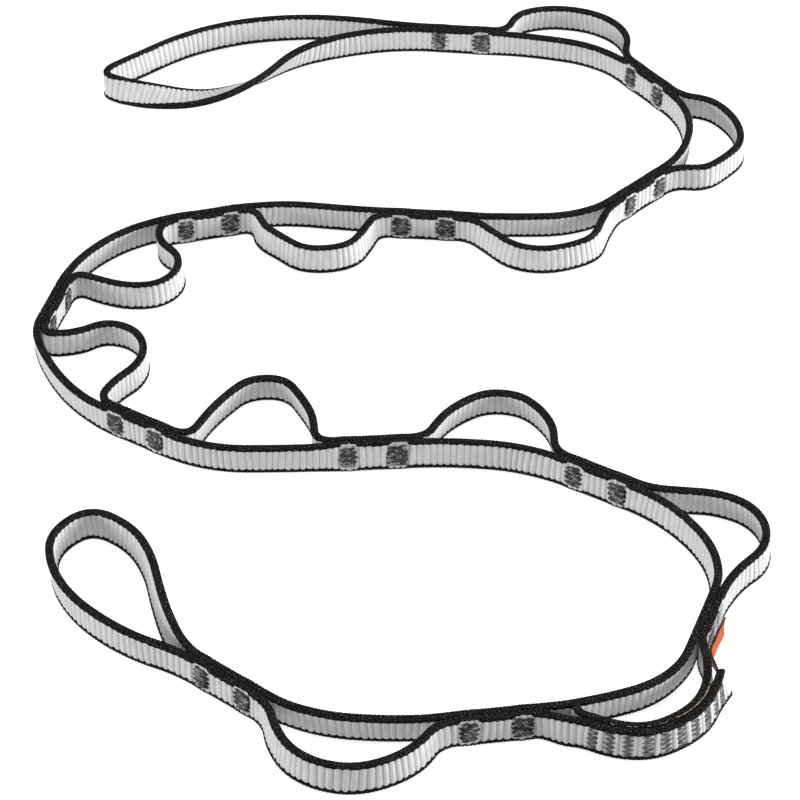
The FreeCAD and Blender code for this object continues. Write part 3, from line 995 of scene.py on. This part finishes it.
def make_tacks():
    """Each block's two tacks, on both of its outer faces."""
    for k in range(len(BLOCK_HEADING)):
        line = Line(straight(block_point(k, 0.0), BLOCK_HEADING[k], BLOCK))
        paths = []
        for place, long in zip((LEAD, LEAD + TACK_PITCH), TACK_LONG[k]):
            for off, side in ((THICK / 2, -1), (1.5 * THICK, 1)):
                paths += bar_tack(line, place, off - TACK_SUNK, side, long * MM,
                                  lambda s: BLOCK_LEAN[k], FADED_TACKS.get((k, side)))
        piece = thread_mesh("bar_tacks_%02d" % (k + 1), paths)
        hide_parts(node("tacks", k))
        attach(piece, body(k))


# A splice column's passes: shift along the strand, length, radius, thread.
COLUMN_PASSES = ((0.0, 4.4, 0.21, GREY), (-0.35, 3.74, 0.19, GREY), (0.35, 3.74, 0.17, PALE),
                 (0.15, 2.86, 0.20, DARK), (-0.15, 3.3, 0.18, GREY))
COLUMN_EDGE = 1.7 * MM
SEAM_BITS_DENSE, SEAM_BITS_SPARSE = 46, 6


def splice_column(line, place, off, side, roll):
    """One column of the splice's zigzag: fuzzy grey passes, nearly in step."""
    out = []
    for shift, long, radius, slot in COLUMN_PASSES:
        path = zigzag(line, place + shift * MM, off, side, long * MM, COLUMN_EDGE,
                      WIDTH - COLUMN_EDGE, 0.95 * MM, 0.18 * MM, roll)
        out.append((path, radius * MM, slot))
    return out


def loose_bits(line, roll, low, high, count):
    """Short bits of pale thread that stand out of the seam along a layer's left."""
    out = []
    for _ in range(count):
        s, path = rng.uniform(low, high), []
        left = THICK / 2 + SPLICE_SEAM / 2
        for n in range(5):
            along = s + (n - 2) * 0.35 * MM + rng.uniform(-0.1, 0.1) * MM
            rise = EDGE_HIGH + (0.16 * math.sin(n * math.pi / 4) - 0.10) * MM
            path.append(on_face(line, along, left + rng.uniform(-0.22, 0.22) * MM, rise,
                                float(roll(s))))
        out.append((path, 0.12 * MM, TAN))
    return out


def make_splice_tacks():
    """The splice's columns on both outer faces, and the bits of thread along its seam."""
    inner, outer, on_inner, on_outer = splice_lines()
    under, over = inner_roll(inner), outer_roll(outer)
    dense_to = on_inner[4]
    paths = loose_bits(inner, under, on_inner[0] - 4 * MM, dense_to, SEAM_BITS_DENSE)
    paths += loose_bits(inner, under, dense_to, on_inner[-1], SEAM_BITS_SPARSE)
    face = THICK / 2 - 0.1 * MM
    for a, b in zip(on_inner, on_outer):
        paths += splice_column(inner, a, face, -1, under)
        paths += splice_column(outer, b, face, 1, over)
    piece = thread_mesh("splice_tacks_sewn", paths)
    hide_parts("splice_tacks")
    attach(piece, body(SPLICED))


make_tacks()
make_splice_tacks()


# ---------------------------------------------------------------- the label
def make_label():
    """A thin plain tape that stands off the webbing and ends under the splice's cut end."""
    line = Line(spline([(x * MM, y * MM) for x, y in LABEL_LINE]))
    s = np.linspace(0.0, line.length, 60)
    rows = np.linspace(-1.0, 1.0, LABEL_ROWS)
    rim = np.full(LABEL_ROWS, LABEL_THICK / 2)
    x = np.concatenate([rim, [0.0], -rim, [0.0]])
    y = np.concatenate([rows, [1.02], rows[::-1], [-1.02]]) * LABEL_TALL / 2
    x = np.tile(x, (len(s), 1))
    y = np.tile(y, (len(s), 1))
    x = x + (LABEL_RIPPLE * (1 - s / line.length) * np.cos(s / (3 * MM)))[:, None] \
        * (y / LABEL_TALL * 2) ** 2
    at = np.tile(s[:, None], (1, x.shape[1]))
    under = np.clip((s / line.length - 0.42) / 0.25, 0.0, 1.0)
    points = place_section(line, at, x, y, np.radians(LABEL_LEAN * under))
    piece = weave_mesh("label_tape", points, np.zeros(x.shape, bool), np.zeros(x.shape), s,
                       LABEL_ROWS, (True, True))
    piece.data.materials.clear()
    for material in (LABEL, LABEL_BACK, LABEL_RIM_SHADE):
        piece.data.materials.append(material)
    # The top edge takes the dark brown rim, and the capped ends keep it from weave_mesh: painted
    # shade on edges in shadow.
    for n in range((len(s) - 1) * x.shape[1]):
        column = n % x.shape[1]
        at_rim = abs(column - LABEL_ROWS) < 3
        piece.data.polygons[n].material_index = 2 if at_rim else column > LABEL_ROWS
    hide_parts("label")
    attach(piece, body(SPLICED))


make_label()


# ---------------------------------------------------------------- studio
def make_floor():
    """A white table that glows for the camera only, so that it shows white all over."""
    mesh = bpy.data.meshes.new("floor")
    mesh.from_pydata([(-6, -6, 0), (6, -6, 0), (6, 6, 0), (-6, 6, 0)], [], [(0, 1, 2, 3)])
    floor = bpy.data.objects.new("floor", mesh)
    floor.location.z = -0.0003
    floor.visible_diffuse = False
    floor.visible_glossy = False
    bpy.context.scene.collection.objects.link(floor)
    material, _tree, shader = new_material("floor_white", (0.8, 0.8, 0.8), 0.9)
    shader.inputs["Emission Color"].default_value = (1, 1, 1, 1)
    shader.inputs["Emission Strength"].default_value = 0.80
    mesh.materials.append(material)


def area_light(name, place, size, power):
    data = bpy.data.lights.new(name, "AREA")
    data.shape = "SQUARE"
    data.size = size
    data.energy = power
    light = bpy.data.objects.new(name, data)
    light.location = place
    light.rotation_euler = (-Vector(place)).to_track_quat("-Z", "Y").to_euler()
    bpy.context.scene.collection.objects.link(light)


TABLE_GLOW, ROOM_GLOW = 0.60, 0.22
# Name, place, size and power in watts.
LIGHTS = (
    ("overhead", (0.0, 0.0, 1.7), 0.9, 11),
    ("left", (-1.89, -0.51, 0.42), 0.5, 18),
    ("right", (1.89, -0.51, 0.42), 0.5, 20),
    ("right_back", (1.89, 0.51, 0.42), 0.5, 22),
)


def make_studio():
    """Soft lights low at both sides and one overhead, and the table's own light from below."""
    make_floor()
    bpy.context.scene.view_settings.view_transform = "Standard"
    for light in LIGHTS:
        area_light(*light)
    world = bpy.data.worlds.new("studio")
    bpy.context.scene.world = world
    world.use_nodes = True
    tree = world.node_tree
    split = tree.nodes.new("ShaderNodeSeparateXYZ")
    way = tree.nodes.new("ShaderNodeTexCoord").outputs["Generated"]
    tree.links.new(way, split.inputs["Vector"])
    glow = ramp(tree, split.outputs["Z"], ((0.0, (TABLE_GLOW,) * 3), (0.02, (ROOM_GLOW,) * 3)))
    tree.links.new(glow, tree.nodes["Background"].inputs["Color"])


make_studio()
